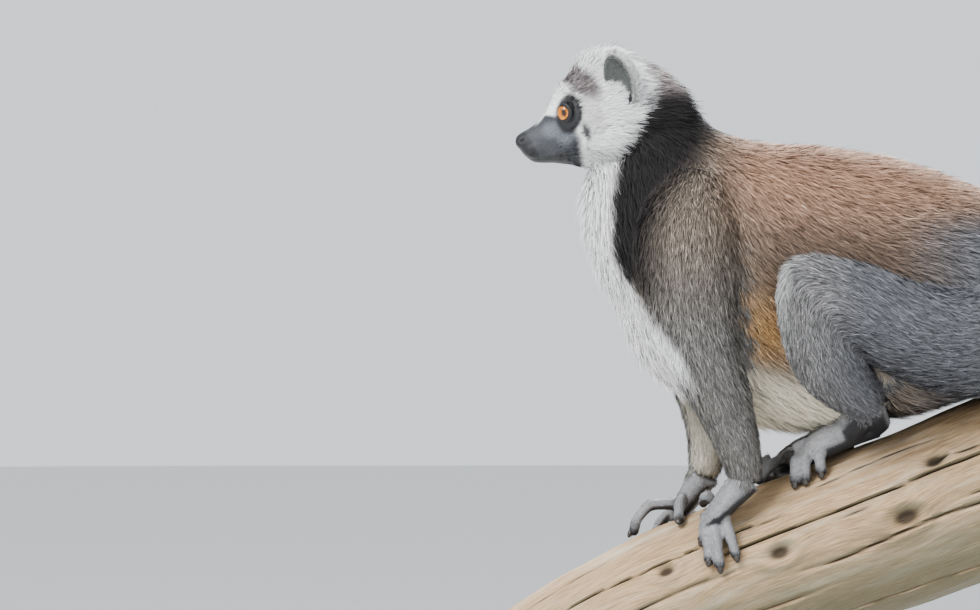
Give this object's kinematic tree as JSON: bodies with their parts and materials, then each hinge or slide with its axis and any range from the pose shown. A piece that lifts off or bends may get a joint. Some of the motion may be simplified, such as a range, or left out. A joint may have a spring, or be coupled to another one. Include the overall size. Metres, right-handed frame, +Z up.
{
  "type": "ring-tailed lemur model",
  "caption": "Life-size ring-tailed lemur crouching on a cut length of branch, its ringed tail hanging down, held up by a plain board and two short rods.",
  "frame": {"origin": "middle of the underside of the stand's board, which is the bottom centre of the whole model", "axes": "+Z up, +X from the nose towards the rump, +Y towards the animal's right side"},
  "size_m": [0.48, 0.26, 0.6315],
  "materials": {
    "coat": "soft fur",
    "eye": "clear and wet",
    "claw": "smooth horn",
    "wood": "weathered, without bark",
    "board": "black satin paint",
    "rod": "brushed"
  },
  "bodies": {
    "root": {"abdomen": "coat", "chest": "coat", "claw_left": "claw", "claw_right": "claw", "ear_left": "coat", "ear_right": "coat", "eye_left": "eye", "eye_right": "eye", "foot_left": "coat", "foot_right": "coat", "forearm_left": "coat", "forearm_right": "coat", "hand_left": "coat", "hand_right": "coat", "head": "coat", "neck": "coat", "rump": "coat", "shank_left": "coat", "shank_right": "coat", "stand_base": "board", "stand_perch": "wood", "stand_rod_back": "rod", "stand_rod_front": "rod", "tail_1": "coat", "tail_2": "coat", "tail_3": "coat", "tail_4": "coat", "tail_5": "coat", "thigh_left": "coat", "thigh_right": "coat", "upper_arm_left": "coat", "upper_arm_right": "coat"}
  },
  "joints": []
}
